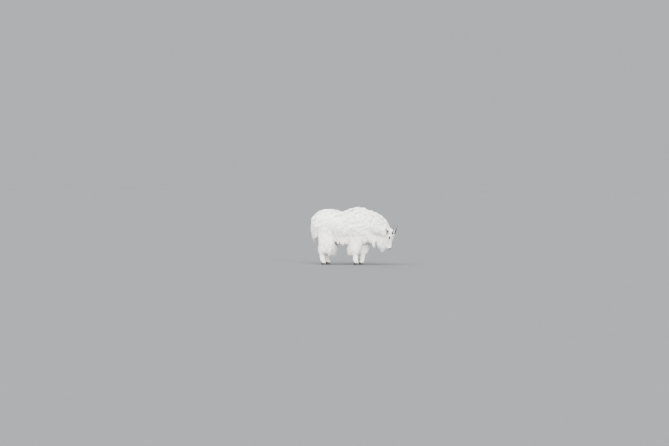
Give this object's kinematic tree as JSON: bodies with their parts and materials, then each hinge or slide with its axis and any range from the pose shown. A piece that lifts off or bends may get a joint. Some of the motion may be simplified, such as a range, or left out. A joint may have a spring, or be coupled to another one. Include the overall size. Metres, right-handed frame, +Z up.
{
  "type": "mountain goat",
  "caption": "Life-size still model of a mountain goat in a white winter coat, standing with its head lowered, with slim dark horns, a beard and dark hooves.",
  "frame": {"origin": "the floor under the middle of the whole animal", "axes": "+X towards the head, +Y to the animal's left, +Z up"},
  "size_m": [1.5002, 0.4522, 0.9714],
  "materials": {
    "coat": "long, dense, soft white hair, a little cream at the rump and the legs",
    "skin": "bare dark skin of the nostrils, lips and lids",
    "horn": "near-black horn, ringed at its base and smooth at its tip",
    "hoof": "dark, dull horn with fine growth lines",
    "eye": "wet dark brown eye"
  },
  "bodies": {
    "root": {"torso": "coat", "neck": "coat", "head": "coat", "tail": "coat", "ear_right": "coat", "ear_left": "coat", "foreleg_right": "coat", "foreleg_left": "coat", "hindleg_right": "coat", "hindleg_left": "coat", "eye_right": "eye", "eye_left": "eye", "horn_right": "horn", "horn_left": "horn", "foreleg_right_claw_right": "hoof", "foreleg_right_claw_left": "hoof", "foreleg_left_claw_right": "hoof", "foreleg_left_claw_left": "hoof", "hindleg_right_claw_right": "hoof", "hindleg_right_claw_left": "hoof", "hindleg_left_claw_right": "hoof", "hindleg_left_claw_left": "hoof", "foreleg_right_dewclaw_right": "hoof", "foreleg_right_dewclaw_left": "hoof", "foreleg_left_dewclaw_right": "hoof", "foreleg_left_dewclaw_left": "hoof", "hindleg_right_dewclaw_right": "hoof", "hindleg_right_dewclaw_left": "hoof", "hindleg_left_dewclaw_right": "hoof", "hindleg_left_dewclaw_left": "hoof"}
  },
  "joints": []
}
